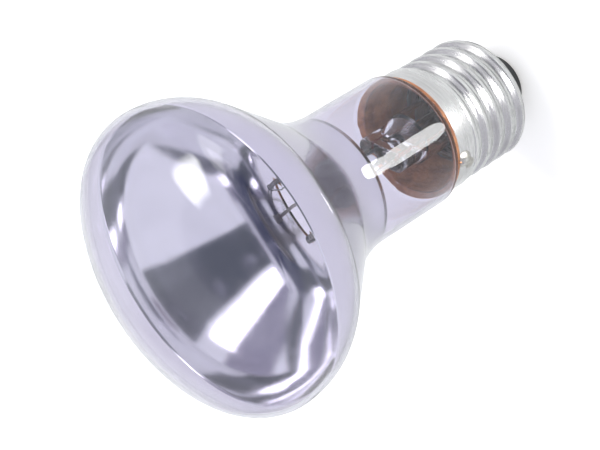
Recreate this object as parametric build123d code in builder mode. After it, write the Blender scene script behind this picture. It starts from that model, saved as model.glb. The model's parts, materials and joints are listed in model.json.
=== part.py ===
from build123d import *

import os
from math import acos, asin, atan, atan2, cos, degrees, hypot, radians, sin, sqrt, tan

# Reflector heat lamp with a screw cap, standing on its centre contact with the domed face up.
# The lamp axis is Z and the tip of the centre contact is at the origin. A blown glass bulb,
# mirrored inside its bell, carries a glass stem with the lead wires and a ring filament, and is
# cemented into a thin rolled screw shell that a black glass insulator closes. Sizes in millimetres.

# Screw shell
thread_major_radius = 13.1
thread_minor_radius = 12.05
thread_pitch = 3.629
thread_lead_in = 0.8
thread_run = 20.4
thread_land_angle = 20.0
thread_root_bite = 0.25
shell_wall = 0.3
skirt_radius = 13.3
skirt_length = 4.7
skirt_step = 0.9
skirt_blend = 0.3
cap_height = 29.2
end_cone_radius = 7.6
end_cone_angle = 36.0
end_cone_blend = 1.6
lip_hole_radius = 7.0

# Centre contact and insulator
solder_tip_height = 0.6
solder_tip_radius = 2.0
solder_land_radius = 0.7
contact_plate_radius = 4.8
contact_plate_thickness = 0.5
contact_plate_blend = 0.2
contact_hole_radius = 0.9
insulator_nose_radius = 6.2
insulator_nose_height = 3.3
insulator_depth = 3.6
insulator_hole_radius = 0.6

# Blown glass bulb, outside sizes
bulb_wall = 0.9
seal_clearance = 0.85
seal_station = 15.0
socket_clearance = 0.7
socket_rise = 2.7
socket_cone_length = 3.3
socket_blend = 2.0
neck_radius = 14.25
neck_shoulder_gap = 0.25
neck_shoulder_length = 1.2
neck_shoulder_root = 0.4
neck_shoulder_blend = 1.2
throat_station = 48.5
throat_blend = 25.0
bell_radius = 31.8
bell_station = 85.5
bell_blend = 16.5
rim_blend = 7.5
dome_radius = 52.0

# Mirror film inside the bell
mirror_start = 51.0
mirror_thickness = 0.1

# Cement between glass and shell
cement_depth = 10.8
cement_bead_height = 0.9
cement_bead_reach = 0.35
cement_bead_blend = 0.25

# Glass stem
stem_wall = 1.0
stem_tube_radius = 5.5
stem_tube_top = 30.0
flare_lip_thickness = 0.9
flare_clearance = 1.3
flare_cone_length = 4.0
flare_blend = 7.0
press_width = 12.0
press_thickness = 4.4
press_shoulder_length = 4.0
press_height = 4.5
press_blend = 0.8
hollow_width = 8.4
hollow_thickness = 1.2
hollow_length = 3.2

# Exhaust tube and button rod
exhaust_radius = 2.0
exhaust_wall = 0.7
exhaust_tip_station = 11.0
exhaust_tip_thickness = 1.2
exhaust_end_depth = 3.6
exhaust_port_radius = 0.7
exhaust_port_depth = 1.5
side_port_radius = 0.5
rod_radius = 1.4
rod_length = 10.0
button_radius = 2.2

# Wires
lead_spacing = 6.4
lead_clearance = 0.13
inner_lead_radius = 0.35
inner_lead_bend = 3.0
inner_lead_stand = 4.0
seal_wire_radius = 0.25
seal_wire_cover = 1.5
seal_wire_tail = 1.0
outer_lead_radius = 0.22
side_lead_turn_height = 2.5
side_lead_drop = 1.2
side_lead_bend = 0.4
side_lead_tail = 1.6
centre_lead_length = 9.0
fuse_radius = 0.12
fuse_turn_height = 2.4
fuse_centring_height = 2.6
fuse_bend = 2.0
fuse_end_station = 0.45
support_wire_radius = 0.15
support_root_radius = 1.2
support_loop_angle = 290.0
support_loop_clearance = 0.05
support_azimuths = {"left": 155.0, "middle": 90.0, "right": 25.0}

# Filament and its clamps
filament_ring_radius = 6.5
filament_station = 62.0
filament_coil_radius = 0.5
filament_gap_angle = 80.0
clamp_wall = 0.3
clamp_length = 1.8

# Side solder
solder_ball_radius = 1.9
solder_ball_drop = 1.3
solder_ball_rise = 1.1
solder_smear_radius = 1.7
solder_smear_drop = 3.1
solder_smear_rise = 0.5
solder_smear_angle = 8.0

# Levels and radii that follow from the sizes above
plate_bottom = solder_tip_height
plate_top = plate_bottom + contact_plate_thickness
shell_end = plate_top + insulator_nose_height
insulator_top = shell_end + insulator_depth
skirt_start = cap_height - skirt_length
thread_start = shell_end + thread_lead_in
skirt_bore = skirt_radius - shell_wall
socket_radius = skirt_bore - socket_clearance
socket_station = skirt_start + socket_rise
seal_radius = thread_minor_radius - shell_wall - seal_clearance
seal_top = socket_station - socket_cone_length
flare_radius = seal_radius - flare_clearance
lip_bottom = seal_station - flare_lip_thickness
press_base = stem_tube_top + press_shoulder_length
press_top = press_base + press_height
hollow_top = stem_tube_top + hollow_length
exhaust_top = stem_tube_top + exhaust_end_depth
seal_wire_bottom = hollow_top - seal_wire_tail
seal_wire_top = press_top - seal_wire_cover
button_station = press_top + rod_length
lead_offset = lead_spacing / 2
fuse_top = seal_wire_bottom - centre_lead_length
lead_lane_radius = (seal_radius + thread_minor_radius - shell_wall) / 2
lead_collar_radius = (socket_radius + skirt_bore) / 2
lead_outside_radius = skirt_radius + lead_clearance + outer_lead_radius
lead_rim_level = cap_height + lead_clearance + outer_lead_radius
clamp_angle = degrees(clamp_length / filament_ring_radius)
filament_sweep = 360 - filament_gap_angle
right_end_azimuth = -90 + filament_gap_angle / 2
support_loop_radius = filament_coil_radius + support_loop_clearance + support_wire_radius

# Rolled thread: equal crest and root arcs that meet at half depth
thread_depth = thread_major_radius - thread_minor_radius
thread_middle = (thread_major_radius + thread_minor_radius) / 2
thread_flank = 2 * atan(2 * thread_depth / thread_pitch)
thread_arc = thread_pitch / (4 * sin(thread_flank))
thread_path = Helix(thread_pitch, thread_run, thread_middle, center=(0, 0, thread_start))

# Bell: the straight cone touches the throat arc and the bell arc
throat_centre = neck_radius + throat_blend
bell_centre = bell_radius - bell_blend
arc_gap_across = throat_centre - bell_centre
arc_gap_along = bell_station - throat_station
bell_slope = degrees(
    atan2(arc_gap_along, arc_gap_across)
    - acos((throat_blend + bell_blend) / hypot(arc_gap_across, arc_gap_along))
)

# Face: the rim arc touches a dome centred on the axis
rim_centre = bell_radius - rim_blend
dome_drop = sqrt((dome_radius - rim_blend) ** 2 - rim_centre**2)
dome_station = bell_station - dome_drop
rim_angle = degrees(atan2(dome_drop, rim_centre))


def upright(azimuth, origin=(0, 0, 0)):
    """Plane standing on the given azimuth, its x running outward and its y running up."""
    turn = radians(azimuth)
    return Plane(origin=origin, x_dir=(cos(turn), sin(turn), 0), z_dir=(sin(turn), -cos(turn), 0))


def turned_profile(corners, blends, inset=0):
    """Half section between a rounded polyline and the axis, drawn in by inset from its skin."""
    with BuildSketch(Plane.XZ) as profile:
        with BuildLine():
            FilletPolyline(*corners, radius=blends)
            Line(corners[-1], corners[0])
        make_face()
        if inset:
            mirror(about=Plane.YZ)
            offset(amount=-inset, kind=Kind.INTERSECTION, mode=Mode.REPLACE)
            split(bisect_by=Plane.YZ)
    return profile.sketch


def cap_profile(wall_radius, inset=0):
    """Half section of the plain cap without its thread; an inset one runs out past the mouth."""
    cone_rise = (wall_radius - end_cone_radius) * tan(radians(end_cone_angle))
    mouth = cap_height + 2 * inset
    corners = [
        (0, shell_end),
        (end_cone_radius, shell_end),
        (wall_radius, shell_end + cone_rise),
        (wall_radius, skirt_start - skirt_step),
        (skirt_radius, skirt_start),
        (skirt_radius, mouth),
        (0, mouth),
    ]
    return turned_profile(corners, [0, end_cone_blend, skirt_blend, skirt_blend, 0], inset)


def ridge_profile(inset=0):
    """Section of the thread ridge on the helix, x outward, thinned by inset for the inner wall."""
    crest_centre = thread_major_radius - thread_arc - thread_middle
    root_centre = thread_minor_radius + thread_arc - thread_middle
    crest = thread_arc - inset
    root = thread_arc + inset
    land = radians(thread_land_angle)
    halfway = (thread_flank + land) / 2
    flank = (crest_centre + crest * cos(thread_flank), crest * sin(thread_flank))
    belly = (root_centre - root * cos(halfway), thread_pitch / 2 - root * sin(halfway))
    toe = (root_centre - root * cos(land), thread_pitch / 2 - root * sin(land))
    bite = thread_minor_radius - inset - thread_middle - thread_root_bite
    heel = (bite, toe[1] + (toe[0] - bite) * tan(land))
    with BuildSketch(Plane(thread_path @ 0, x_dir=(1, 0, 0), z_dir=thread_path % 0)) as profile:
        with BuildLine():
            ThreePointArc((flank[0], -flank[1]), (crest_centre + crest, 0), flank)
            ThreePointArc(flank, belly, toe)
            Polyline(toe, heel, (heel[0], -heel[1]), (toe[0], -toe[1]))
            ThreePointArc((toe[0], -toe[1]), (belly[0], -belly[1]), (flank[0], -flank[1]))
        make_face()
    return profile.sketch


def bulb_profile(inset=0):
    """Half section of the bulb as a solid of revolution; an inset one runs out past the seal."""
    shoulder = cap_height + neck_shoulder_gap
    foot = seal_station - 2 * inset
    corners = [
        (0, foot),
        (seal_radius, foot),
        (seal_radius, seal_top),
        (socket_radius, socket_station),
        (socket_radius, shoulder),
        (neck_radius, shoulder + neck_shoulder_length),
        (neck_radius, throat_station),
    ]
    blends = [0, socket_blend, socket_blend, neck_shoulder_root, neck_shoulder_blend]
    with BuildSketch(Plane.XZ) as profile:
        with BuildLine():
            FilletPolyline(*corners, radius=blends)
            throat = CenterArc((throat_centre, throat_station), throat_blend, 180, -bell_slope)
            bell = CenterArc((bell_centre, bell_station), bell_blend, -bell_slope, bell_slope)
            Line(throat @ 1, bell @ 0)
            CenterArc((rim_centre, bell_station), rim_blend, 0, rim_angle)
            face = CenterArc((0, dome_station), dome_radius, rim_angle, 90 - rim_angle)
            Line(face @ 1, (0, foot))
        make_face()
        if inset:
            mirror(about=Plane.YZ)
            offset(amount=-inset, kind=Kind.INTERSECTION, mode=Mode.REPLACE)
            split(bisect_by=Plane.YZ)
    return profile.sketch


def flare_profile(inset=0):
    """Half section of the filled stem tube and its flare; an inset one runs out past the lip."""
    foot = lip_bottom - 2 * inset
    cone_slope = (flare_radius - stem_tube_radius) / flare_cone_length
    foot_radius = flare_radius + (seal_station - foot) * cone_slope
    corners = [
        (0, foot),
        (foot_radius, foot),
        (stem_tube_radius, seal_station + flare_cone_length),
        (stem_tube_radius, stem_tube_top + inset),
        (0, stem_tube_top + inset),
    ]
    return turned_profile(corners, [0, flare_blend, 0], inset)


def lead_path(azimuth, corners, bend, origin=(0, 0, 0)):
    """Line through (distance out, height) corners in an upright plane, bent at each corner."""
    with BuildLine(upright(azimuth, origin)) as path:
        if bend:
            FilletPolyline(*corners, radius=bend)
        else:
            Line(*corners)
    return path.line


def wire_profile(path, radius):
    """Round section at the start of a wire's path."""
    with BuildSketch(Plane(path @ 0, z_dir=path % 0)) as profile:
        Circle(radius)
    return profile.sketch


def coil_profile(azimuth, radius):
    """Round section of the filament ring at the given azimuth."""
    with BuildSketch(upright(azimuth)) as profile:
        with Locations((filament_ring_radius, filament_station)):
            Circle(radius)
    return profile.sketch


def inner_lead_path(side):
    """Path of a filament lead on the right side (1) or the left (-1), from its seal to the clamp."""
    clamp_middle = radians(right_end_azimuth + clamp_angle / 2)
    across = side * filament_ring_radius * cos(clamp_middle)
    forward = filament_ring_radius * sin(clamp_middle)
    away = hypot(across - side * lead_offset, forward)
    heading = degrees(atan2(forward, across - side * lead_offset))
    corners = [(0, seal_wire_top), (0, press_top + inner_lead_stand), (away, filament_station)]
    return lead_path(heading, corners, inner_lead_bend, (side * lead_offset, 0, 0))


def support_path(azimuth):
    """Path of a support wire from inside the button to the end of its loop round the coil."""
    across = filament_ring_radius - support_root_radius
    upward = filament_station - button_station
    span = hypot(across, upward)
    heading = degrees(atan2(upward, across) + asin(support_loop_radius / span))
    reach = sqrt(span**2 - support_loop_radius**2)
    with BuildLine(upright(azimuth)) as path:
        shank = PolarLine((support_root_radius, button_station), reach, heading)
        JernArc(shank @ 1, shank % 1, support_loop_radius, -support_loop_angle)
    return path.line


side_lead_corners = [
    (lead_offset, seal_wire_bottom),
    (lead_offset, seal_station + side_lead_turn_height),
    (flare_radius, lip_bottom - side_lead_drop),
    (lead_lane_radius, lip_bottom - side_lead_drop),
    (lead_lane_radius, seal_top - socket_blend / 2),
    (lead_collar_radius, socket_station),
    (lead_collar_radius, lead_rim_level),
    (lead_outside_radius, lead_rim_level),
    (lead_outside_radius, cap_height - side_lead_tail),
]
side_lead_path = lead_path(0, side_lead_corners, side_lead_bend)
centre_lead_path = lead_path(180, [(lead_offset, seal_wire_bottom), (lead_offset, fuse_top)], 0)
fuse_corners = [
    (lead_offset, fuse_top),
    (lead_offset, exhaust_tip_station + fuse_turn_height),
    (0, exhaust_tip_station - fuse_centring_height),
    (0, fuse_end_station),
]
fuse_path = lead_path(180, fuse_corners, fuse_bend)

with BuildPart() as side_lead:
    sweep(wire_profile(side_lead_path, outer_lead_radius), path=side_lead_path)

with BuildPart() as centre_lead:
    sweep(wire_profile(centre_lead_path, outer_lead_radius), path=centre_lead_path)

with BuildPart() as fuse_wire:
    sweep(wire_profile(fuse_path, fuse_radius), path=fuse_path)

with BuildPart() as filament:
    revolve(coil_profile(right_end_azimuth, filament_coil_radius), Axis.Z, filament_sweep)

seal_wires = {}
inner_leads = {}
for name, side in {"left": -1, "right": 1}.items():
    with BuildPart() as seal_wire:
        with BuildSketch(Plane.XY.offset(seal_wire_bottom)):
            with Locations((side * lead_offset, 0)):
                Circle(seal_wire_radius)
        extrude(amount=seal_wire_top - seal_wire_bottom)
    seal_wires[name] = seal_wire.part
    clamp_start = right_end_azimuth if side == 1 else 180 - right_end_azimuth - clamp_angle
    path = inner_lead_path(side)
    with BuildPart() as inner_lead:
        sweep(wire_profile(path, inner_lead_radius), path=path)
        revolve(coil_profile(clamp_start, filament_coil_radius + clamp_wall), Axis.Z, clamp_angle)
        add(filament.part, mode=Mode.SUBTRACT)
    inner_leads[name] = inner_lead.part

support_wires = {}
for name, azimuth in support_azimuths.items():
    path = support_path(azimuth)
    with BuildPart() as support_wire:
        sweep(wire_profile(path, support_wire_radius), path=path)
    support_wires[name] = support_wire.part

with BuildPart() as exhaust_tube:
    tube_corners = [
        (0, exhaust_tip_station),
        (exhaust_radius, exhaust_tip_station),
        (exhaust_radius, exhaust_top),
        (0, exhaust_top),
    ]
    revolve(turned_profile(tube_corners, [exhaust_radius - exhaust_wall, 0]), Axis.Z)
    bore_corners = [
        (0, exhaust_tip_station + exhaust_tip_thickness),
        (exhaust_radius - exhaust_wall, exhaust_tip_station + exhaust_tip_thickness),
        (exhaust_radius - exhaust_wall, exhaust_top),
        (0, exhaust_top),
    ]
    revolve(turned_profile(bore_corners, [exhaust_wall, 0]), Axis.Z, mode=Mode.SUBTRACT)

with BuildPart() as stem_tube:
    revolve(flare_profile(), Axis.Z)
    with BuildSketch(Plane.XY.offset(stem_tube_top)):
        Circle(stem_tube_radius)
    with BuildSketch(Plane.XY.offset(press_base)):
        SlotOverall(press_width, press_thickness)
    loft()
    with BuildSketch(Plane.XY.offset(press_base)):
        SlotOverall(press_width, press_thickness)
    extrude(amount=press_height)
    fillet(stem_tube.edges().group_by(Axis.Z)[-1], press_blend)
    with BuildSketch(Plane.XY.offset(lip_bottom)):
        Circle(seal_radius)
    extrude(amount=flare_lip_thickness)
    revolve(flare_profile(stem_wall), Axis.Z, mode=Mode.SUBTRACT)
    with BuildSketch(Plane.XY.offset(stem_tube_top)):
        Circle(stem_tube_radius - stem_wall)
    with BuildSketch(Plane.XY.offset(hollow_top)):
        SlotOverall(hollow_width, hollow_thickness)
    loft(mode=Mode.SUBTRACT)
    with BuildSketch(Plane.XY.offset(stem_tube_top)):
        Circle(exhaust_radius)
    extrude(amount=exhaust_end_depth, mode=Mode.SUBTRACT)
    with BuildSketch(Plane.XY.offset(exhaust_top)):
        Circle(exhaust_port_radius)
    extrude(amount=exhaust_port_depth, mode=Mode.SUBTRACT)
    with BuildSketch(Plane.XZ):
        with Locations((0, exhaust_top + exhaust_port_depth / 2)):
            Circle(side_port_radius)
    extrude(amount=stem_tube_radius, mode=Mode.SUBTRACT)
    with BuildSketch(Plane.XY.offset(seal_wire_bottom)):
        with Locations((-lead_offset, 0), (lead_offset, 0)):
            Circle(seal_wire_radius)
    extrude(amount=seal_wire_top - seal_wire_bottom, mode=Mode.SUBTRACT)
    with BuildSketch(Plane.XY.offset(seal_wire_top)):
        with Locations((-lead_offset, 0), (lead_offset, 0)):
            Circle(inner_lead_radius)
    extrude(amount=seal_wire_cover, mode=Mode.SUBTRACT)

with BuildPart() as button_rod:
    with BuildSketch(Plane.XY.offset(press_top)):
        Circle(rod_radius)
    extrude(amount=rod_length)
    with Locations((0, 0, button_station)):
        Sphere(button_radius)
    for embedded in support_wires.values():
        add(embedded, mode=Mode.SUBTRACT)

with BuildPart() as glass_envelope:
    revolve(bulb_profile(), Axis.Z)
    revolve(bulb_profile(bulb_wall), Axis.Z, mode=Mode.SUBTRACT)

with BuildPart() as mirror_coating:
    revolve(bulb_profile(bulb_wall), Axis.Z)
    revolve(bulb_profile(bulb_wall + mirror_thickness), Axis.Z, mode=Mode.SUBTRACT)
    split(bisect_by=Plane.XY.offset(mirror_start), keep=Keep.TOP)
    split(bisect_by=Plane.XY.offset(bell_station), keep=Keep.BOTTOM)

with BuildPart() as screw_shell:
    revolve(cap_profile(thread_major_radius), Axis.Z)
    sweep(ridge_profile(), path=thread_path, is_frenet=True, mode=Mode.INTERSECT)
    revolve(cap_profile(thread_minor_radius), Axis.Z)
    groove = sweep(ridge_profile(shell_wall), path=thread_path, is_frenet=True, mode=Mode.PRIVATE)
    groove_limit = revolve(cap_profile(thread_major_radius, shell_wall), Axis.Z, mode=Mode.PRIVATE)
    add(groove & groove_limit, mode=Mode.SUBTRACT)
    revolve(cap_profile(thread_minor_radius, shell_wall), Axis.Z, mode=Mode.SUBTRACT)
    with BuildSketch(Plane.XY.offset(shell_end)):
        Circle(lip_hole_radius)
    extrude(amount=shell_wall, mode=Mode.SUBTRACT)

with BuildPart() as cap_insulator:
    revolve(cap_profile(thread_minor_radius, shell_wall), Axis.Z)
    split(bisect_by=Plane.XY.offset(insulator_top), keep=Keep.BOTTOM)
    with BuildSketch(Plane.XY.offset(shell_end)):
        Circle(lip_hole_radius)
    extrude(amount=shell_wall)
    with BuildSketch(Plane.XY.offset(plate_top)):
        Circle(insulator_nose_radius)
    with BuildSketch(Plane.XY.offset(shell_end)):
        Circle(lip_hole_radius)
    loft()
    with BuildSketch(Plane.XY.offset(plate_top)):
        Circle(insulator_hole_radius)
    extrude(amount=insulator_top - plate_top, mode=Mode.SUBTRACT)

with BuildPart() as centre_contact:
    with BuildSketch(Plane.XY.offset(plate_bottom)):
        Circle(contact_plate_radius)
    extrude(amount=contact_plate_thickness)
    fillet(centre_contact.edges().group_by(Axis.Z)[0], contact_plate_blend)
    with BuildSketch(Plane.XY.offset(plate_bottom)):
        Circle(contact_hole_radius)
    extrude(amount=contact_plate_thickness, mode=Mode.SUBTRACT)

with BuildPart() as centre_solder:
    with BuildSketch(Plane.XZ):
        with BuildLine():
            Line((0, 0), (solder_land_radius, 0))
            TangentArc((solder_land_radius, 0), (solder_tip_radius, plate_bottom), tangent=(1, 0))
            Polyline(
                (solder_tip_radius, plate_bottom),
                (contact_hole_radius, plate_bottom),
                (contact_hole_radius, plate_top),
                (0, plate_top),
                (0, 0),
            )
        make_face()
    revolve(axis=Axis.Z)
    add(fuse_wire.part, mode=Mode.SUBTRACT)

with BuildPart() as basing_cement:
    revolve(cap_profile(thread_minor_radius, shell_wall), Axis.Z)
    split(bisect_by=Plane.XY.offset(cap_height - cement_depth), keep=Keep.TOP)
    split(bisect_by=Plane.XY.offset(cap_height), keep=Keep.BOTTOM)
    bead_corners = [
        (0, cap_height),
        (skirt_radius, cap_height),
        (skirt_radius + cement_bead_reach, cap_height + cement_bead_height),
        (0, cap_height + cement_bead_height),
    ]
    revolve(turned_profile(bead_corners, [0, cement_bead_blend]), Axis.Z)
    revolve(bulb_profile(), Axis.Z, mode=Mode.SUBTRACT)
    add(side_lead.part, mode=Mode.SUBTRACT)

with BuildPart() as side_solder:
    ball_place = skirt_radius + solder_ball_rise - solder_ball_radius
    smear_place = skirt_radius + solder_smear_rise - solder_smear_radius
    with Locations((ball_place, 0, cap_height - solder_ball_drop)):
        Sphere(solder_ball_radius)
    with Locations(Plane.XY.rotated((0, 0, -solder_smear_angle))):
        with Locations((smear_place, 0, cap_height - solder_smear_drop)):
            Sphere(solder_smear_radius)
    with BuildSketch():
        Circle(skirt_radius)
    extrude(amount=cap_height, mode=Mode.SUBTRACT)
    revolve(bulb_profile(), Axis.Z, mode=Mode.SUBTRACT)
    add(basing_cement.part, mode=Mode.SUBTRACT)
    add(side_lead.part, mode=Mode.SUBTRACT)

pieces = {
    "glass_envelope": glass_envelope.part,
    "mirror_coating": mirror_coating.part,
    "stem_tube": stem_tube.part,
    "exhaust_tube": exhaust_tube.part,
    "button_rod": button_rod.part,
    "seal_wire_left": seal_wires["left"],
    "seal_wire_right": seal_wires["right"],
    "inner_lead_left": inner_leads["left"],
    "inner_lead_right": inner_leads["right"],
    "side_lead": side_lead.part,
    "centre_lead": centre_lead.part,
    "fuse_wire": fuse_wire.part,
    "filament": filament.part,
    "support_wire_left": support_wires["left"],
    "support_wire_middle": support_wires["middle"],
    "support_wire_right": support_wires["right"],
    "screw_shell": screw_shell.part,
    "cap_insulator": cap_insulator.part,
    "centre_contact": centre_contact.part,
    "basing_cement": basing_cement.part,
    "side_solder": side_solder.part,
    "centre_solder": centre_solder.part,
}

os.makedirs("parts", exist_ok=True)
for name, piece in pieces.items():
    piece.label = name
    export_step(piece, f"parts/{name}.step")
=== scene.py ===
"""Looks of a reflector heat lamp: lavender bulb, mirrored bell, stem, filament and screw cap.

The lamp stands on its centre contact with the domed face up. Sizes in the classes are in
millimetres and become metres when a mesh is made.
"""

import json
import logging
import math
from dataclasses import dataclass, field
from enum import Enum

import bpy
from mathutils import Matrix, Vector


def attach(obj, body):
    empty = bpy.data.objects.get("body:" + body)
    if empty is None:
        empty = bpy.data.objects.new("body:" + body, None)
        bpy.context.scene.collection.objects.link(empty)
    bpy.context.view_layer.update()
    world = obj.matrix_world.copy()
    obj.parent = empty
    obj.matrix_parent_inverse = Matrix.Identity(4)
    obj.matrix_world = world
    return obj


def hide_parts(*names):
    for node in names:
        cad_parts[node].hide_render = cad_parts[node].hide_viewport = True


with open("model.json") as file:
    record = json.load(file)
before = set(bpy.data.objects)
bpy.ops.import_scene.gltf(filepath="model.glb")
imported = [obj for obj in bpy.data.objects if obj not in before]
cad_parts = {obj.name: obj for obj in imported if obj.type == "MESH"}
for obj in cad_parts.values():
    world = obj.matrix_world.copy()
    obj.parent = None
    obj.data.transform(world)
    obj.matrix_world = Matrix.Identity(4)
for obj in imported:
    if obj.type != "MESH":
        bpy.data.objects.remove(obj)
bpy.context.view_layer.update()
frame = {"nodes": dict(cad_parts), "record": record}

MM = 0.001
WELD = 1e-6
WHITE = (1.0, 1.0, 1.0, 1.0)
log = logging.getLogger("heat_lamp")

Ring = tuple[float, float]
Tone = tuple[float, float, float, float]
Feed = bpy.types.NodeSocket | float | Tone


class Kind(Enum):
    """Kinds of socket that a shader group can have."""

    FLOAT = "NodeSocketFloat"
    COLOR = "NodeSocketColor"
    VECTOR = "NodeSocketVector"


SURFACE = {"Color": Kind.COLOR, "Roughness": Kind.FLOAT, "Normal": Kind.VECTOR}


class Paper:
    """A node tree with short ways to add and join nodes."""

    def __init__(self, tree: bpy.types.NodeTree) -> None:
        """Keeps the tree.

        Args:
            tree: The material, world or group tree to draw in.
        """
        self.tree = tree

    def node(self, kind: str, **settings: object) -> bpy.types.Node:
        """Adds a node.

        Args:
            kind: The node's type name, such as ShaderNodeTexNoise.
            **settings: Attributes to set on the node.

        Returns:
            The new node.
        """
        made = self.tree.nodes.new(kind)
        for name, value in settings.items():
            setattr(made, name, value)
        return made

    def join(self, source: bpy.types.NodeSocket, target: bpy.types.NodeSocket) -> None:
        """Links one socket to another."""
        self.tree.links.new(source, target)

    def feed(self, node: bpy.types.Node, values: dict[str | int, Feed]) -> None:
        """Gives a node's inputs their links or plain values.

        Args:
            node: The node.
            values: Input name or place to a socket to join or a value to set.
        """
        for name, value in values.items():
            if isinstance(value, bpy.types.NodeSocket):
                self.join(value, node.inputs[name])
            else:
                node.inputs[name].default_value = value

    def place(self, group: bpy.types.NodeTree, **values: object) -> bpy.types.Node:
        """Places a shader group with its own values.

        Args:
            group: The node group.
            **values: Input values, with _ for each space of the input's name.

        Returns:
            The group node.
        """
        made = self.node("ShaderNodeGroup", node_tree=group)
        self.feed(made, {name.replace("_", " "): value for name, value in values.items()})
        return made

    def math(self, operation: str, *values: Feed) -> bpy.types.NodeSocket:
        """Adds a sum.

        Args:
            operation: Its kind, such as MULTIPLY.
            *values: Its inputs in order.

        Returns:
            The result's socket.
        """
        made = self.node("ShaderNodeMath", operation=operation)
        self.feed(made, dict(enumerate(values)))
        return made.outputs[0]

    def noise(
        self, place: bpy.types.NodeSocket, scale: Feed, detail: float, roughness: float = 0.5
    ) -> bpy.types.NodeSocket:
        """Adds noise in three dimensions.

        Args:
            place: The coordinate.
            scale: Size of the noise, per metre.
            detail: Number of finer layers.
            roughness: How strong the finer layers are.

        Returns:
            The socket with its value.
        """
        made = self.node("ShaderNodeTexNoise", noise_dimensions="3D")
        self.feed(
            made, {"Vector": place, "Scale": scale, "Detail": detail, "Roughness": roughness}
        )
        return made.outputs["Fac"]

    def span(
        self,
        value: bpy.types.NodeSocket,
        source: tuple[Feed, Feed] = (0.0, 1.0),
        target: tuple[Feed, Feed] = (0.0, 1.0),
        kind: str = "LINEAR",
    ) -> bpy.types.NodeSocket:
        """Maps one span of values to another.

        Args:
            value: The value to map.
            source: Ends of the span that it comes from.
            target: Ends of the span that it goes to.
            kind: How it runs between the ends.

        Returns:
            The socket with the mapped value.
        """
        made = self.node("ShaderNodeMapRange", interpolation_type=kind)
        names = ("Value", "From Min", "From Max", "To Min", "To Max")
        self.feed(made, dict(zip(names, (value, *source, *target))))
        return made.outputs["Result"]

    def blend(self, factor: Feed, first: Feed, second: Feed) -> bpy.types.NodeSocket:
        """Mixes two colours.

        Args:
            factor: How much of the second shows.
            first: The first colour.
            second: The second colour.

        Returns:
            The socket with the mixed colour.
        """
        made = self.node("ShaderNodeMix", data_type="RGBA")
        self.feed(made, {"Factor": factor, "A": first, "B": second})
        return made.outputs["Result"]

    def bump(
        self, height: bpy.types.NodeSocket, strength: Feed, distance: float
    ) -> bpy.types.NodeSocket:
        """Turns a height into a normal.

        Args:
            height: The height's value.
            strength: How much it shows.
            distance: Height that a value of 1 stands for, metres.

        Returns:
            The socket with the normal.
        """
        made = self.node("ShaderNodeBump")
        self.feed(made, {"Height": height, "Strength": strength, "Distance": distance})
        return made.outputs["Normal"]

    def drawn_out(self, place: bpy.types.NodeSocket, length: Feed) -> bpy.types.NodeSocket:
        """Scales a coordinate along the lamp's axis.

        Args:
            place: The coordinate.
            length: Factor along the axis.

        Returns:
            The socket with the new coordinate.
        """
        axes = self.node("ShaderNodeCombineXYZ")
        self.feed(axes, {"X": 1.0, "Y": 1.0, "Z": length})
        made = self.node("ShaderNodeVectorMath", operation="MULTIPLY")
        self.feed(made, {0: place, 1: axes.outputs[0]})
        return made.outputs[0]

    def put(self, **values: bpy.types.NodeSocket) -> bpy.types.NodeTree:
        """Joins sockets to the group's outputs.

        Args:
            **values: Output name to the socket that it takes.

        Returns:
            The group.
        """
        self.feed(self.node("NodeGroupOutput"), values)
        return self.tree


def new_group(
    name: str, inputs: dict[str, tuple[Kind, float | Tone]], outputs: dict[str, Kind]
) -> Paper:
    """Starts a shader group with named inputs and outputs.

    Args:
        name: The group's name.
        inputs: Name to (kind of socket, default value).
        outputs: Name to kind of socket.

    Returns:
        The group's tree, ready to draw in.
    """
    tree = bpy.data.node_groups.new(name, "ShaderNodeTree")
    for label, (kind, value) in inputs.items():
        socket = tree.interface.new_socket(label, in_out="INPUT", socket_type=kind.value)
        socket.default_value = value
    for label, kind in outputs.items():
        tree.interface.new_socket(label, in_out="OUTPUT", socket_type=kind.value)
    return Paper(tree)


def ripple_group() -> bpy.types.NodeTree:
    """Slow waves, faint tint streaks and a thin uneven film of blown glass.

    Returns:
        The group, with outputs Color, Roughness and Normal.
    """
    sheet = new_group(
        "blown_ripple",
        {
            "Clear": (Kind.COLOR, (0.95, 0.95, 0.98, 1)),
            "Tint": (Kind.COLOR, (0.9, 0.9, 0.95, 1)),
            "Scale": (Kind.FLOAT, 60.0),
            "Stretch": (Kind.FLOAT, 0.4),
            "Depth": (Kind.FLOAT, 0.1),
            "Rough Low": (Kind.FLOAT, 0.0),
            "Rough High": (Kind.FLOAT, 0.02),
        },
        SURFACE,
    )
    given = sheet.node("NodeGroupInput").outputs
    place = sheet.node("ShaderNodeTexCoord").outputs["Object"]
    wave = sheet.noise(sheet.drawn_out(place, given["Stretch"]), given["Scale"], detail=1.5)
    film = sheet.noise(place, scale=220.0, detail=3.0)
    rough = (given["Rough Low"], given["Rough High"])
    return sheet.put(
        Color=sheet.blend(wave, given["Clear"], given["Tint"]),
        Roughness=sheet.span(film, source=(0.35, 0.75), target=rough),
        Normal=sheet.bump(wave, given["Depth"], distance=0.001),
    )


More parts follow.
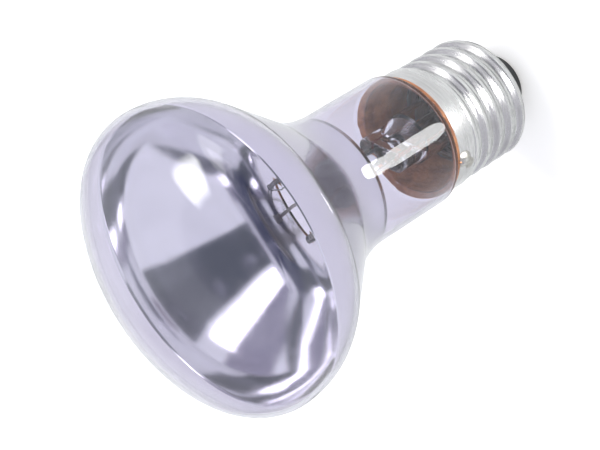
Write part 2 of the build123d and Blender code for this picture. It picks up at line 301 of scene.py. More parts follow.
def grain_group() -> bpy.types.NodeTree:
    """Fine lines and soft clouding of rolled or drawn metal.

    Returns:
        The group, with outputs Color, Roughness and Normal.
    """
    sheet = new_group(
        "metal_grain",
        {
            "Bright": (Kind.COLOR, (0.8, 0.8, 0.8, 1)),
            "Dull": (Kind.COLOR, (0.6, 0.6, 0.6, 1)),
            "Scale": (Kind.FLOAT, 300.0),
            "Line Length": (Kind.FLOAT, 12.0),
            "Rough Low": (Kind.FLOAT, 0.15),
            "Rough High": (Kind.FLOAT, 0.35),
            "Depth": (Kind.FLOAT, 0.1),
        },
        SURFACE,
    )
    given = sheet.node("NodeGroupInput").outputs
    place = sheet.node("ShaderNodeTexCoord").outputs["Object"]
    along = sheet.drawn_out(place, given["Line Length"])
    lines = sheet.noise(along, given["Scale"], detail=4.0, roughness=0.6)
    cloud = sheet.noise(place, scale=140.0, detail=3.0)
    share = 0.5
    both = sheet.math("MULTIPLY_ADD", lines, share, sheet.math("MULTIPLY", cloud, share))
    tone = sheet.span(both, source=(0.35, 0.65))
    return sheet.put(
        Color=sheet.blend(tone, given["Bright"], given["Dull"]),
        Roughness=sheet.span(tone, target=(given["Rough Low"], given["Rough High"])),
        Normal=sheet.bump(lines, given["Depth"], distance=0.0001),
    )


def mottle_group() -> bpy.types.NodeTree:
    """Blotches and small pits of a set paste, a melt or a moulded surface.

    Returns:
        The group, with outputs Color, Roughness and Normal.
    """
    sheet = new_group(
        "set_mottle",
        {
            "Light": (Kind.COLOR, (0.5, 0.4, 0.3, 1)),
            "Dark": (Kind.COLOR, (0.2, 0.1, 0.1, 1)),
            "Scale": (Kind.FLOAT, 300.0),
            "Pit Scale": (Kind.FLOAT, 900.0),
            "Pit Depth": (Kind.FLOAT, 0.3),
            "Rough Low": (Kind.FLOAT, 0.5),
            "Rough High": (Kind.FLOAT, 0.9),
        },
        SURFACE,
    )
    given = sheet.node("NodeGroupInput").outputs
    place = sheet.node("ShaderNodeTexCoord").outputs["Object"]
    blotch = sheet.noise(place, given["Scale"], detail=5.0, roughness=0.65)
    tone = sheet.span(blotch, source=(0.35, 0.65))
    pits = sheet.node("ShaderNodeTexVoronoi", feature="F1")
    sheet.feed(pits, {"Vector": place, "Scale": given["Pit Scale"]})
    return sheet.put(
        Color=sheet.blend(tone, given["Light"], given["Dark"]),
        Roughness=sheet.span(tone, target=(given["Rough Low"], given["Rough High"])),
        Normal=sheet.bump(pits.outputs["Distance"], given["Pit Depth"], distance=0.0002),
    )


@dataclass(frozen=True)
class Workshop:
    """The shader groups that the finishes share."""

    ripple: bpy.types.NodeTree = field(default_factory=ripple_group)
    grain: bpy.types.NodeTree = field(default_factory=grain_group)
    mottle: bpy.types.NodeTree = field(default_factory=mottle_group)


def blank_material(name: str) -> tuple[bpy.types.Material, Paper, bpy.types.Node]:
    """Makes a material with only a Principled BSDF.

    Args:
        name: The material's name.

    Returns:
        The material, its tree and the shader node.
    """
    material = bpy.data.materials.new(name)
    material.use_nodes = True
    sheet = Paper(material.node_tree)
    return material, sheet, material.node_tree.nodes["Principled BSDF"]


def patterned(
    name: str, group: bpy.types.NodeTree, pattern: dict[str, Feed], plain: dict[str, float]
) -> bpy.types.Material:
    """Makes a material whose colour, roughness and normal come from a shader group.

    Args:
        name: The material's name.
        group: The shader group.
        pattern: Values of the group's inputs, with _ for each space of a name.
        plain: Values of the shader's own sockets.

    Returns:
        The material.
    """
    material, sheet, shader = blank_material(name)
    drawn = sheet.place(group, **pattern).outputs
    joins = {"Base Color": drawn["Color"], "Roughness": drawn["Roughness"]}
    sheet.feed(shader, plain | joins | {"Normal": drawn["Normal"]})
    return material


@dataclass(frozen=True)
class GlassFinish:
    """Clear glass with blown waves.

    Attributes:
        name: Material name.
        clear: Colour of the paler streaks.
        tint: Colour of the stronger streaks.
        scale: Size of the waves, per metre.
        depth: How strongly the waves bend light.
        rough: Lowest and highest roughness.
        ior: Index of refraction.
    """

    name: str
    clear: Tone
    tint: Tone
    scale: float
    depth: float
    rough: tuple[float, float] = (0.0, 0.01)
    ior: float = 1.5

    def material(self, shop: Workshop) -> bpy.types.Material:
        """Makes the glass.

        Args:
            shop: The shared groups.

        Returns:
            The material.
        """
        pattern = {
            "Clear": self.clear,
            "Tint": self.tint,
            "Scale": self.scale,
            "Depth": self.depth,
            "Rough_Low": self.rough[0],
            "Rough_High": self.rough[1],
        }
        plain = {"IOR": self.ior, "Transmission Weight": 1.0}
        return patterned(self.name, shop.ripple, pattern, plain)


@dataclass(frozen=True)
class MirrorFinish:
    """Bright metal film laid on blown glass.

    Attributes:
        name: Material name.
        bright: Colour of the paler streaks.
        tint: Colour of the stronger streaks.
        scale: Size of the waves, per metre.
        depth: How strongly the waves bend the reflection.
        rough: Lowest and highest roughness.
    """

    name: str
    bright: Tone
    tint: Tone
    scale: float
    depth: float
    rough: tuple[float, float]

    def material(self, shop: Workshop) -> bpy.types.Material:
        """Makes the mirror.

        Args:
            shop: The shared groups.

        Returns:
            The material.
        """
        pattern = {
            "Clear": self.bright,
            "Tint": self.tint,
            "Scale": self.scale,
            "Depth": self.depth,
            "Rough_Low": self.rough[0],
            "Rough_High": self.rough[1],
        }
        return patterned(self.name, shop.ripple, pattern, {"Metallic": 1.0})


@dataclass(frozen=True)
class MetalFinish:
    """Rolled, drawn or stamped metal.

    Attributes:
        name: Material name.
        bright: Colour of the clean metal.
        dull: Colour of the clouded metal.
        scale: Size of the lines, per metre.
        line_length: How much finer the pattern is along the lamp's axis.
        rough: Lowest and highest roughness.
        depth: How strongly the lines show.
    """

    name: str
    bright: Tone
    dull: Tone
    scale: float
    line_length: float
    rough: tuple[float, float]
    depth: float

    def material(self, shop: Workshop) -> bpy.types.Material:
        """Makes the metal.

        Args:
            shop: The shared groups.

        Returns:
            The material.
        """
        pattern = {
            "Bright": self.bright,
            "Dull": self.dull,
            "Scale": self.scale,
            "Line_Length": self.line_length,
            "Rough_Low": self.rough[0],
            "Rough_High": self.rough[1],
            "Depth": self.depth,
        }
        return patterned(self.name, shop.grain, pattern, {"Metallic": 1.0})


@dataclass(frozen=True)
class PasteFinish:
    """Cement, solder or moulded black glass.

    Attributes:
        name: Material name.
        light: Colour of the paler blotches.
        dark: Colour of the darker blotches.
        scale: Size of the blotches, per metre.
        pit_scale: Size of the pits, per metre.
        pit_depth: How strongly the pits show.
        rough: Lowest and highest roughness.
        metallic: 1 for metal, 0 for none.
        coat: Weight of a clear glaze.
    """

    name: str
    light: Tone
    dark: Tone
    scale: float
    pit_scale: float
    pit_depth: float
    rough: tuple[float, float]
    metallic: float = 0.0
    coat: float = 0.0

    def material(self, shop: Workshop) -> bpy.types.Material:
        """Makes the finish.

        Args:
            shop: The shared groups.

        Returns:
            The material.
        """
        pattern = {
            "Light": self.light,
            "Dark": self.dark,
            "Scale": self.scale,
            "Pit_Scale": self.pit_scale,
            "Pit_Depth": self.pit_depth,
            "Rough_Low": self.rough[0],
            "Rough_High": self.rough[1],
        }
        plain = {"Metallic": self.metallic, "Coat Weight": self.coat}
        return patterned(self.name, shop.mottle, pattern, plain)


FINISHES: dict[str, GlassFinish | MirrorFinish | MetalFinish | PasteFinish] = {
    "tinted_glass": GlassFinish(
        "tinted_glass", (0.924, 0.897, 0.98, 1), (0.888, 0.852, 0.965, 1), 45.0, 0.05
    ),
    "stem_glass": GlassFinish(
        "stem_glass", (0.93, 0.95, 0.95, 1), (0.86, 0.9, 0.9, 1), 160.0, 0.25, (0.0, 0.04), 1.56
    ),
    "mirror_film": MirrorFinish(
        "mirror_film", (0.9, 0.9, 0.91, 1), (0.84, 0.84, 0.87, 1), 40.0, 0.09, (0.1, 0.16)
    ),
    "cap_metal": MetalFinish(
        "cap_metal", (0.79, 0.785, 0.78, 1), (0.54, 0.535, 0.53, 1), 260.0, 14.0, (0.2, 0.36), 0.14
    ),
    "contact_brass": MetalFinish(
        "contact_brass", (0.83, 0.64, 0.32, 1), (0.6, 0.42, 0.2, 1), 300.0, 1.0, (0.25, 0.45), 0.2
    ),
    "lead_wire": MetalFinish(
        "lead_wire", (0.5, 0.49, 0.47, 1), (0.3, 0.29, 0.28, 1), 900.0, 0.3, (0.25, 0.4), 0.1
    ),
    "support_wire": MetalFinish(
        "support_wire", (0.42, 0.42, 0.43, 1), (0.25, 0.25, 0.26, 1), 900.0, 0.3, (0.25, 0.4), 0.1
    ),
    "tungsten": MetalFinish(
        "tungsten", (0.3, 0.3, 0.32, 1), (0.15, 0.15, 0.17, 1), 900.0, 1.0, (0.35, 0.55), 0.1
    ),
    "copper_wire": MetalFinish(
        "copper_wire", (0.8, 0.45, 0.28, 1), (0.5, 0.22, 0.12, 1), 700.0, 0.3, (0.25, 0.45), 0.1
    ),
    "seal_wire": MetalFinish(
        "seal_wire", (0.65, 0.15, 0.1, 1), (0.38, 0.06, 0.05, 1), 700.0, 0.3, (0.3, 0.5), 0.1
    ),
    "cement": PasteFinish(
        "cement", (0.76, 0.32, 0.14, 1), (0.38, 0.14, 0.07, 1), 260.0, 1500.0, 0.5, (0.6, 0.85)
    ),
    "solder": PasteFinish(
        "solder", (0.62, 0.61, 0.58, 1), (0.36, 0.34, 0.3, 1), 600.0, 1200.0, 0.3, (0.25, 0.5), 1.0
    ),
    "black_glass": PasteFinish(
        "black_glass", (0.02, 0.02, 0.022, 1), (0.008, 0.008, 0.01, 1),
        300.0, 700.0, 0.08, (0.08, 0.22), 0.0, 0.4
    ),
}


def deselect() -> None:
    """Leaves edit mode and deselects every object."""
    if bpy.context.object is not None and bpy.context.object.mode != "OBJECT":
        bpy.ops.object.mode_set(mode="OBJECT")
    bpy.ops.object.select_all(action="DESELECT")


def settle(piece: bpy.types.Object, name: str) -> bpy.types.Object:
    """Puts a finished piece's place into its mesh, smooths it and lets it ride on the lamp.

    Args:
        piece: The selected, active object.
        name: Its name.

    Returns:
        The piece.
    """
    bpy.ops.object.transform_apply(location=True, rotation=True, scale=True)
    bpy.ops.object.shade_smooth()
    piece.name = name
    piece.data.name = name
    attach(piece, "root")
    return piece


@dataclass
class Lathe:
    """A turned surface drawn ring by ring along the lamp's axis.

    Attributes:
        rings: (radius, height) of each ring, from the start to the end.
        sides: Number of sides of each ring.
        closed: Whether the last ring is drawn together to a point.
        wall: Thickness added inward, or 0 for none.
    """

    rings: list[Ring]
    sides: int = 160
    closed: bool = False
    wall: float = 0.0

    def turn(self) -> bpy.types.Object:
        """Draws the surface.

        Returns:
            The object, selected and in object mode.
        """
        deselect()
        radius, height = self.rings[0]
        bpy.ops.mesh.primitive_circle_add(
            vertices=self.sides, radius=radius * MM, location=(0, 0, height * MM)
        )
        piece = bpy.context.object
        bpy.ops.object.mode_set(mode="EDIT")
        bpy.ops.mesh.select_all(action="SELECT")
        for next_radius, next_height in self.rings[1:]:
            step = (next_height - height) * MM
            bpy.ops.mesh.extrude_region_move(TRANSFORM_OT_translate={"value": (0, 0, step)})
            grow = next_radius / radius
            bpy.ops.transform.resize(value=(grow, grow, 1), center_override=(0, 0, 0))
            radius, height = next_radius, next_height
        if self.closed:
            bpy.ops.mesh.merge(type="CENTER")
        bpy.ops.mesh.select_all(action="SELECT")
        bpy.ops.mesh.remove_doubles(threshold=WELD)
        bpy.ops.mesh.normals_make_consistent(inside=False)
        bpy.ops.object.mode_set(mode="OBJECT")
        if self.wall:
            shell = piece.modifiers.new("wall", "SOLIDIFY")
            shell.thickness = self.wall * MM
            shell.offset = -1
            shell.use_even_offset = True
            bpy.ops.object.modifier_apply(modifier=shell.name)
        return piece


def rounded(corners: list[Ring], blends: tuple[float, ...], step: float = 9.0) -> list[Ring]:
    """Rings along a run of straight stretches with rounded corners.

    Args:
        corners: (radius, height) of each corner, ends included.
        blends: The rounding at each corner between the ends.
        step: Degrees between the rings of a rounding.

    Returns:
        The rings in order.
    """
    run = [corners[0]]
    for before, at, after, blend in zip(corners, corners[1:], corners[2:], blends):
        arrive = (Vector(at) - Vector(before)).normalized()
        leave = (Vector(after) - Vector(at)).normalized()
        bend = arrive.angle(leave)
        reach = blend * math.tan(bend / 2)
        count = max(2, math.ceil(math.degrees(bend) / step))
        start, end = Vector(at) - arrive * reach, Vector(at) + leave * reach
        side = 1 if arrive.x * leave.y - arrive.y * leave.x > 0 else -1
        centre = start + Vector((-arrive.y, arrive.x)) * (blend * side)
        first = start - centre
        for i in range(count + 1):
            turn = Matrix.Rotation(side * bend * i / count, 2)
            run.append(tuple(centre + turn @ first))
        run[-1] = tuple(end)
    run.append(corners[-1])
    return run


def arc(centre: Ring, radius: float, start: float, end: float, step: float) -> list[Ring]:
    """Rings along an arc of the outline, both ends included, angles in degrees.

    Args:
        centre: (radius, height) of the arc's centre.
        radius: The arc's radius.
        start: Angle of the first ring.
        end: Angle of the last ring.
        step: Largest angle between rings.

    Returns:
        The rings in order.
    """
    count = max(1, math.ceil(abs(end - start) / step))
    turns = [math.radians(start + (end - start) * i / count) for i in range(count + 1)]
    return [(centre[0] + radius * math.cos(t), centre[1] + radius * math.sin(t)) for t in turns]


@dataclass
class Bulb:
    """The blown bulb and the mirror film on the inside of its bell.

    Radii and heights run from the seal at the cap's end up to the domed face.

    Attributes:
        neck_blends: Rounding at the ends of the seal and of the neck's shoulder.
        neck_run: Length of the plain neck below the throat that its last ring leaves open.
        steps: Degrees between the rings of the throat, bell, rim and face.
        face_end: Angle at which the face's rings stop, just short of its middle.
        film_gap: Distance from the glass to the film.
    """

    wall: float = 0.9
    seal_radius: float = 10.9
    seal_bottom: float = 15.0
    seal_top: float = 23.9
    socket_radius: float = 12.3
    socket_bottom: float = 27.2
    neck_radius: float = 14.25
    shoulder_bottom: float = 29.45
    shoulder_top: float = 30.65
    throat_height: float = 48.5
    throat_blend: float = 25.0
    bell_radius: float = 31.8
    bell_height: float = 85.5
    bell_blend: float = 16.5
    rim_blend: float = 7.5
    dome_radius: float = 52.0
    film_start: float = 51.0
    film_gap: float = 0.03
    film_wall: float = 0.04
    neck_blends: tuple[float, ...] = (2.0, 2.0, 0.4, 1.2)
    neck_run: float = 6.0
    steps: tuple[float, ...] = (2.5, 3.0, 4.0, 1.5)
    face_end: float = 89.5
    sides: int = 192

    def outline(self) -> list[Ring]:
        """Rings of the outer skin from the seal to just short of the face's middle.

        Returns:
            The rings in order.
        """
        across = self.neck_radius + self.throat_blend - self.bell_radius + self.bell_blend
        along = self.bell_height - self.throat_height
        reach = math.hypot(across, along)
        slope = math.atan2(along, across) - math.acos((self.throat_blend + self.bell_blend) / reach)
        slope = math.degrees(slope)
        neck = rounded(
            [
                (self.seal_radius, self.seal_bottom),
                (self.seal_radius, self.seal_top),
                (self.socket_radius, self.socket_bottom),
                (self.socket_radius, self.shoulder_bottom),
                (self.neck_radius, self.shoulder_top),
                (self.neck_radius, self.throat_height - self.neck_run),
            ],
            self.neck_blends,
        )
        throat_centre = (self.neck_radius + self.throat_blend, self.throat_height)
        bell_centre = (self.bell_radius - self.bell_blend, self.bell_height)
        rim_centre = (self.bell_radius - self.rim_blend, self.bell_height)
        drop = math.sqrt((self.dome_radius - self.rim_blend) ** 2 - rim_centre[0] ** 2)
        rim_turn = math.degrees(math.atan2(drop, rim_centre[0]))
        face_centre = (0, self.bell_height - drop)
        throat_step, bell_step, rim_step, face_step = self.steps
        throat = arc(throat_centre, self.throat_blend, 180, 180 - slope, throat_step)
        bell = arc(bell_centre, self.bell_blend, -slope, 0, bell_step)
        rim = arc(rim_centre, self.rim_blend, 0, rim_turn, rim_step)
        face = arc(face_centre, self.dome_radius, rim_turn, self.face_end, face_step)
        return neck + throat + bell + rim[1:] + face[1:]

    def inward(self, depth: float, low: float, high: float) -> list[Ring]:
        """Rings of the outer skin moved inward, kept between two heights.

        Args:
            depth: How far inward.
            low: Lowest height kept.
            high: Highest height kept.

        Returns:
            The rings in order.
        """
        skin = self.outline()
        kept = []
        for before, at, after in zip(skin, skin[1:], skin[2:]):
            run = (Vector(after) - Vector(before)).normalized()
            ring = (at[0] - run.y * depth, at[1] + run.x * depth)
            if low <= ring[1] <= high:
                kept.append(ring)
        return kept

    def build(self, finishes: dict[str, bpy.types.Material]) -> list[bpy.types.Object]:
        """Makes the glass and the film.

        Args:
            finishes: Materials by slot.

        Returns:
            The two pieces.
        """
        glass = Lathe(self.outline(), self.sides, closed=True, wall=self.wall).turn()
        settle(glass, "bulb_glass")
        glass.data.materials.append(finishes["tinted_glass"])
        glass.visible_shadow = False
        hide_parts("glass_envelope")
        depth = self.wall + self.film_gap
        rings = self.inward(depth, self.film_start, self.bell_height)
        film = Lathe(rings, self.sides, wall=self.film_wall).turn()
        settle(film, "reflector_film")
        film.data.materials.append(finishes["mirror_film"])
        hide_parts("mirror_coating")
        return [glass, film]


@dataclass
class Filament:
    """The coiled wire ring between the two clamps.

    Attributes:
        gap_angle: Degrees of the ring left open between the clamps.
        pitch: Distance between the coil's turns, mm.
        wire_sides: Number of sides of the wire.
        turn_steps: Straight steps in each turn.
    """

    ring_radius: float = 6.5
    height: float = 62.0
    coil_radius: float = 0.44
    wire_radius: float = 0.055
    gap_angle: float = 80.0
    pitch: float = 0.29
    wire_sides: int = 6
    turn_steps: int = 12

    def build(self, finishes: dict[str, bpy.types.Material]) -> list[bpy.types.Object]:
        """Winds a straight coil and lays it round the ring.

        Args:
            finishes: Materials by slot.

        Returns:
            The coil.
        """
        deselect()
        bpy.ops.mesh.primitive_circle_add(
            vertices=self.wire_sides,
            radius=self.wire_radius * MM,
            location=(self.coil_radius * MM, 0, 0),
            rotation=(math.pi / 2, 0, 0),
        )
        coil = bpy.context.object
        bpy.ops.object.transform_apply(location=True, rotation=True, scale=True)
        sweep = math.radians(360 - self.gap_angle)
        turns = round(sweep * self.ring_radius / self.pitch)
        wind = coil.modifiers.new("wind", "SCREW")
        wind.axis = "Z"
        wind.angle = 2 * math.pi
        wind.iterations = turns
        wind.screw_offset = sweep * self.ring_radius / turns * MM
        wind.steps = self.turn_steps
        wind.render_steps = self.turn_steps
        wind.use_merge_vertices = True
        bpy.ops.object.modifier_apply(modifier=wind.name)
        deselect()
        bpy.ops.curve.primitive_bezier_circle_add(radius=self.ring_radius * MM)
        track = bpy.context.object
        deselect()
        coil.select_set(True)
        bpy.context.view_layer.objects.active = coil
        lay = coil.modifiers.new("lay", "CURVE")
        lay.object = track
        lay.deform_axis = "POS_Z"
        bpy.ops.object.modifier_apply(modifier=lay.name)
        bpy.data.objects.remove(track)
        bpy.ops.object.mode_set(mode="EDIT")
        bpy.ops.mesh.select_all(action="SELECT")
        bpy.ops.mesh.normals_make_consistent(inside=False)
        bpy.ops.object.mode_set(mode="OBJECT")
        coil.location.z = self.height * MM
        settle(coil, "filament_coil")
        coil.data.materials.append(finishes["tungsten"])
        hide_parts("filament")
        return [coil]


@dataclass
class PlainNodes:
    """The carried-over solids, each dressed with the finish of its slot."""

    hidden: tuple[str, ...] = ("glass_envelope", "mirror_coating", "filament")

    def build(self, finishes: dict[str, bpy.types.Material]) -> list[bpy.types.Object]:
        """Dresses every node that no new piece replaces.

        Args:
            finishes: Materials by slot.

        Returns:
            The dressed nodes.
        """
        slots = {s["node"]: s["material_slot"] for s in frame["record"]["subparts"]}
        dressed = []
        for name, node in sorted(frame["nodes"].items()):
            if name in self.hidden:
                continue
            node.data.materials.clear()
            node.data.materials.append(finishes[slots[name]])
            if slots[name] == "stem_glass":
                node.visible_shadow = False
            dressed.append(node)
        return dressed


@dataclass
class LampCamera:
    """The camera, placed as the photograph shows the lamp.

    Attributes:
        tilt: Degrees between the lamp's axis and the line to the camera.
        heading: Direction of the face in the picture, degrees from the right, turning left.
        around: Row azimuth of the side that faces the camera.
        distance: From the camera to the aim height, mm.
        focal: Focal length in pixels of a 600 pixel wide picture.
        aim: Pixel at which the aim height on the axis is seen.
        aim_height: Height of that point, mm.
        picture: Width and height of the picture, pixels.
        sensor: Width of the sensor, mm.
        clip: Nearest and farthest distance seen, metres.
    """

    tilt: float = 53.6
    heading: float = 212.1
    around: float = 44.0
    distance: float = 459.6
    focal: float = 2400.0
    aim: tuple[float, float] = (303.5, 203.8)
    aim_height: float = 60.0
    picture: tuple[int, int] = (600, 450)
    sensor: float = 36.0
    clip: tuple[float, float] = (0.01, 20.0)

    def build(self) -> bpy.types.Object:
        """Makes the camera and gives it to the scene.

        Returns:
            The camera.
        """
        tilt, heading, around = (math.radians(a) for a in (self.tilt, self.heading, self.around))
        flat = Vector((math.cos(heading), math.sin(heading), 0))
        ahead = Vector((0, 0, 1))
        axis = math.sin(tilt) * flat + math.cos(tilt) * ahead
        near = math.sin(tilt) * ahead - math.cos(tilt) * flat
        side = axis.cross(near)
        row_x = math.cos(around) * near - math.sin(around) * side
        row_y = axis.cross(row_x)
        to_picture = Matrix((row_x, row_y, axis)).transposed()
        aim = Vector(
            (
                (self.aim[0] - self.picture[0] / 2) / self.focal * self.distance,
                (self.picture[1] / 2 - self.aim[1]) / self.focal * self.distance,
                -self.distance,
            )
        )
        foot = aim - axis * self.aim_height
        place = to_picture.transposed() @ -foot * MM
        lens = bpy.data.cameras.new("camera")
        lens.sensor_width = self.sensor
        lens.lens = self.focal / self.picture[0] * lens.sensor_width
        lens.clip_start, lens.clip_end = self.clip
        camera = bpy.data.objects.new("camera", lens)
        bpy.context.scene.collection.objects.link(camera)
        camera.matrix_world = Matrix.Translation(place) @ to_picture.transposed().to_4x4()
        bpy.context.scene.camera = camera
        return camera


@dataclass(frozen=True)
class Softbox:
    """A rectangular lamp that faces a point on the lamp's axis.

    Attributes:
        name: Its name.
        azimuth: Row azimuth of its place, degrees.
        elevation: Degrees above the floor.
        distance: From the point that it faces, mm.
        size: Width and height, mm.
        level: Brightness of its face.
        aim: Height of the point that it faces, mm.
    """

    name: str
    azimuth: float
    elevation: float
    distance: float
    size: tuple[float, float]
    level: float
    aim: float = 60.0

    def build(self) -> bpy.types.Object:
        """Makes the lamp.

        Returns:
            The light object.
        """
        width, height = (s * MM for s in self.size)
        lamp = bpy.data.lights.new(self.name, "AREA")
        lamp.shape = "RECTANGLE"
        lamp.size, lamp.size_y = width, height
        lamp.energy = self.level * math.pi * width * height
        turn, rise = math.radians(self.azimuth), math.radians(self.elevation)
        out = Vector(
            (math.cos(turn) * math.cos(rise), math.sin(turn) * math.cos(rise), math.sin(rise))
        )
        place = bpy.data.objects.new(self.name, lamp)
        place.location = out * self.distance * MM + Vector((0, 0, self.aim * MM))
        place.rotation_euler = out.to_track_quat("Z", "Y").to_euler()
        place.visible_camera = False
        place.visible_glossy = False
        place.visible_transmission = False
        bpy.context.scene.collection.objects.link(place)
        return place


def patch_group() -> bpy.types.NodeTree:
    """A soft-edged patch of the room, placed by direction in degrees.

    Returns:
        The group, with the output Mask.
    """
    sheet = new_group(
        "room_patch",
        {
            "Azimuth": (Kind.FLOAT, 0.0),
            "Elevation": (Kind.FLOAT, 45.0),
            "Half Width": (Kind.FLOAT, 20.0),
            "Half Height": (Kind.FLOAT, 10.0),
            "Softness": (Kind.FLOAT, 3.0),
        },
        {"Mask": Kind.FLOAT},
    )
    given = sheet.node("NodeGroupInput").outputs
    parts = sheet.node("ShaderNodeSeparateXYZ")
    sheet.feed(parts, {0: sheet.node("ShaderNodeTexCoord").outputs["Generated"]})
    heading = sheet.math("ARCTAN2", parts.outputs["Y"], parts.outputs["X"])
    rise = sheet.math("ARCSINE", parts.outputs["Z"])
    masks = []
    for angle, centre, half in (
        (heading, "Azimuth", "Half Width"),
        (rise, "Elevation", "Half Height"),
    ):
        away = sheet.math("SUBTRACT", sheet.math("DEGREES", angle), given[centre])
        inside = sheet.math("SUBTRACT", given[half], sheet.math("ABSOLUTE", away))
        masks.append(sheet.span(inside, source=(0.0, given["Softness"]), kind="SMOOTHSTEP"))
    return sheet.put(Mask=sheet.math("MULTIPLY", *masks))


@dataclass(frozen=True)
class RoomPatch:
    """A wall, flag or opening of the room that the mirror shows.

    Attributes:
        azimuth: Row azimuth of its middle, degrees.
        elevation: Elevation of its middle, degrees.
        half_width: Half its width, degrees.
        half_height: Half its height, degrees.
        softness: Width of its edge, degrees.
        tone: Its colour.
    """

    azimuth: float
    elevation: float
    half_width: float
    half_height: float
    softness: float
    tone: Tone


@dataclass
class HighlightCard:
    """A small bright card beside the neck that only its glass reflects.

    Attributes:
        azimuth: Row azimuth of its middle, degrees.
        reach: Distance of its middle from the lamp's axis, mm.
        height: Height of its middle, mm.
        size: Width and height, mm.
        rounding: Rounding of its corners, mm.
        corner_steps: Straight steps in each corner.
        level: Brightness.
        near_depth: Ray depth below which a ray comes straight from an outer skin.
    """

    azimuth: float = 34.0
    reach: float = 27.0
    height: float = 29.0
    size: tuple[float, float] = (9.0, 20.0)
    rounding: float = 4.0
    corner_steps: int = 6
    level: float = 13.0
    near_depth: float = 1.5

    def light(self) -> bpy.types.Material:
        """Makes a light that is clear to every ray but a first reflection.

        Returns:
            The material.
        """
        material, sheet, spare = blank_material("card_light")
        material.node_tree.nodes.remove(spare)
        depth = sheet.node("ShaderNodeLightPath").outputs["Ray Depth"]
        first = sheet.math("LESS_THAN", depth, self.near_depth)
        light = sheet.node("ShaderNodeEmission")
        sheet.feed(light, {"Strength": sheet.math("MULTIPLY", first, self.level)})
        clear = sheet.node("ShaderNodeBsdfTransparent")
        mix = sheet.node("ShaderNodeMixShader")
        sheet.feed(mix, {"Fac": first, 1: clear.outputs[0], 2: light.outputs[0]})
        sheet.join(mix.outputs[0], material.node_tree.nodes["Material Output"].inputs["Surface"])
        return material

    def build(self) -> bpy.types.Object:
        """Makes the card.

        Returns:
            The card.
        """
        deselect()
        turn = math.radians(self.azimuth)
        out = Vector((math.cos(turn), math.sin(turn), 0)) * self.reach
        bpy.ops.mesh.primitive_plane_add(
            size=1.0,
            location=(out + Vector((0, 0, self.height))) * MM,
            rotation=(math.pi / 2, 0, turn + math.pi / 2),
        )
        card = bpy.context.object
        card.name = "neck_card"
        card.scale = (self.size[0] * MM, self.size[1] * MM, 1)
        bpy.ops.object.transform_apply(location=False, rotation=False, scale=True)
        bpy.ops.object.mode_set(mode="EDIT")
        bpy.ops.mesh.select_all(action="SELECT")
        bpy.ops.mesh.bevel(
            offset=self.rounding * MM, segments=self.corner_steps, affect="VERTICES"
        )
        bpy.ops.object.mode_set(mode="OBJECT")
        card.data.materials.append(self.light())
        card.visible_camera = False
        card.visible_diffuse = False
        card.visible_transmission = False
        card.visible_shadow = False
        return card


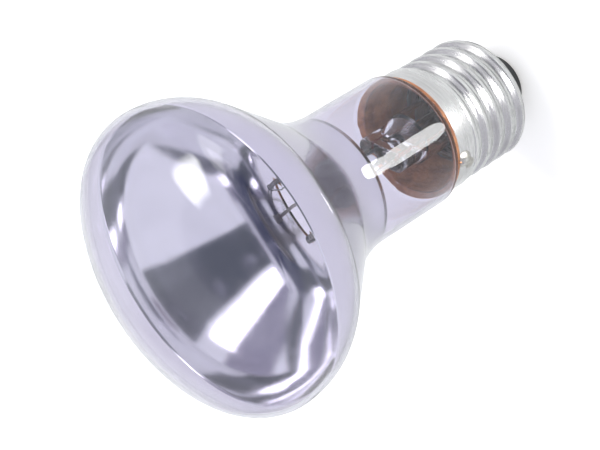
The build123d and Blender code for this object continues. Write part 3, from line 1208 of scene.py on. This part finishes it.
@dataclass
class Studio:
    """White floor, soft lamps and the room that the glass and the mirror show.

    Attributes:
        floor_size: Width of the floor, metres.
        floor_tone: Colour of the floor.
        floor_roughness: Its roughness.
        floor_glow: Light that the camera alone sees on the floor.
        floor_base: Light that every ray sees on the floor.
        room_tone: Plain colour of the room that the mirror shows.
        patches: What stands in that room, the last on top.
        near_depth: Ray depth in the world below which a ray is a first reflection.
        near_tone: Plain colour of the room that outer skins show.
        near_patches: What stands in that room, the last on top.
        softboxes: The lamps, which no reflection shows.
    """

    floor_size: float = 6.0
    floor_tone: Tone = (0.9, 0.9, 0.9, 1)
    floor_roughness: float = 0.9
    floor_glow: float = 0.35
    floor_base: float = 0.12
    room_tone: Tone = (0.92, 0.97, 0.97, 1)
    patches: tuple[RoomPatch, ...] = (
        RoomPatch(130.0, 35.0, 22.0, 35.0, 6.0, (0.3, 0.3, 0.37, 1)),
        RoomPatch(55.0, 35.0, 33.0, 32.0, 5.0, (0.1, 0.118, 0.135, 1)),
        RoomPatch(0.0, 90.0, 400.0, 30.0, 5.0, (0.035, 0.045, 0.1, 1)),
        RoomPatch(103.0, 38.0, 14.0, 15.0, 6.0, (5.0, 5.0, 5.0, 1)),
        RoomPatch(-110.0, 25.0, 30.0, 25.0, 10.0, (0.4, 0.38, 0.42, 1)),
    )
    near_depth: float = 2.5
    near_tone: Tone = (0.62, 0.62, 0.68, 1)
    near_patches: tuple[RoomPatch, ...] = (
        RoomPatch(62.0, 20.0, 30.0, 25.0, 8.0, (0.25, 0.25, 0.29, 1)),
        RoomPatch(110.0, 32.0, 12.0, 26.0, 5.0, (3.5, 3.5, 3.5, 1)),
        RoomPatch(152.0, 60.0, 15.0, 11.0, 7.0, (18.0, 18.0, 18.0, 1)),
    )
    softboxes: tuple[Softbox, ...] = (
        Softbox("key", 106.0, 50.0, 900.0, (400.0, 230.0), 3.5),
        Softbox("top", -150.0, 82.0, 900.0, (260.0, 200.0), 2.5),
        Softbox("fill", -70.0, 30.0, 900.0, (500.0, 300.0), 1.2),
    )

    def floor(self) -> bpy.types.Object:
        """Makes the floor.

        Returns:
            The floor.
        """
        deselect()
        bpy.ops.mesh.primitive_plane_add(size=self.floor_size)
        floor = bpy.context.object
        floor.name = "floor"
        material, sheet, shader = blank_material("floor_paper")
        sheet.feed(shader, {"Base Color": self.floor_tone, "Roughness": self.floor_roughness})
        seen = sheet.node("ShaderNodeLightPath").outputs["Is Camera Ray"]
        light = sheet.node("ShaderNodeEmission")
        glow = sheet.math("MULTIPLY_ADD", seen, self.floor_glow, self.floor_base)
        sheet.feed(light, {"Strength": glow})
        both = sheet.node("ShaderNodeAddShader")
        sheet.feed(both, {0: shader.outputs[0], 1: light.outputs[0]})
        sheet.join(both.outputs[0], material.node_tree.nodes["Material Output"].inputs["Surface"])
        floor.data.materials.append(material)
        return floor

    def walls(
        self,
        sheet: Paper,
        group: bpy.types.NodeTree,
        tone: Tone,
        patches: tuple[RoomPatch, ...],
    ) -> bpy.types.NodeSocket:
        """Lays patches over a plain room.

        Args:
            sheet: The world's tree.
            group: The patch group.
            tone: Colour of the plain room.
            patches: The patches, the last on top.

        Returns:
            The socket with the room's colour.
        """
        plain = sheet.node("ShaderNodeRGB")
        plain.outputs[0].default_value = tone
        colour = plain.outputs[0]
        for patch in patches:
            mask = sheet.place(
                group,
                Azimuth=patch.azimuth,
                Elevation=patch.elevation,
                Half_Width=patch.half_width,
                Half_Height=patch.half_height,
                Softness=patch.softness,
            )
            colour = sheet.blend(mask.outputs["Mask"], colour, patch.tone)
        return colour

    def room(self) -> bpy.types.World:
        """Makes the room that the mirror shows and the one that outer skins show.

        Returns:
            The world.
        """
        world = bpy.data.worlds.new("room")
        world.use_nodes = True
        bpy.context.scene.world = world
        sheet = Paper(world.node_tree)
        group = patch_group()
        deep = self.walls(sheet, group, self.room_tone, self.patches)
        near = self.walls(sheet, group, self.near_tone, self.near_patches)
        path = sheet.node("ShaderNodeLightPath").outputs
        first = sheet.math("LESS_THAN", path["Ray Depth"], self.near_depth)
        either = sheet.blend(first, deep, near)
        seen = sheet.blend(path["Is Camera Ray"], either, WHITE)
        sheet.join(seen, world.node_tree.nodes["Background"].inputs["Color"])
        return world

    def build(self) -> None:
        """Makes the floor, the lamps and the room."""
        self.floor()
        for box in self.softboxes:
            box.build()
        HighlightCard().build()
        self.room()
        bpy.context.scene.view_settings.view_transform = "Standard"


def main() -> None:
    """Builds the lamp, its studio and its camera, and logs each piece by name."""
    logging.basicConfig(level=logging.INFO, format="%(message)s")
    shop = Workshop()
    finishes = {slot: finish.material(shop) for slot, finish in FINISHES.items()}
    for assembly in (Bulb(), Filament(), PlainNodes()):
        for piece in assembly.build(finishes):
            log.info("%s: %s", type(assembly).__name__, piece.name)
    LampCamera().build()
    Studio().build()


if __name__ == "__main__":
    main()
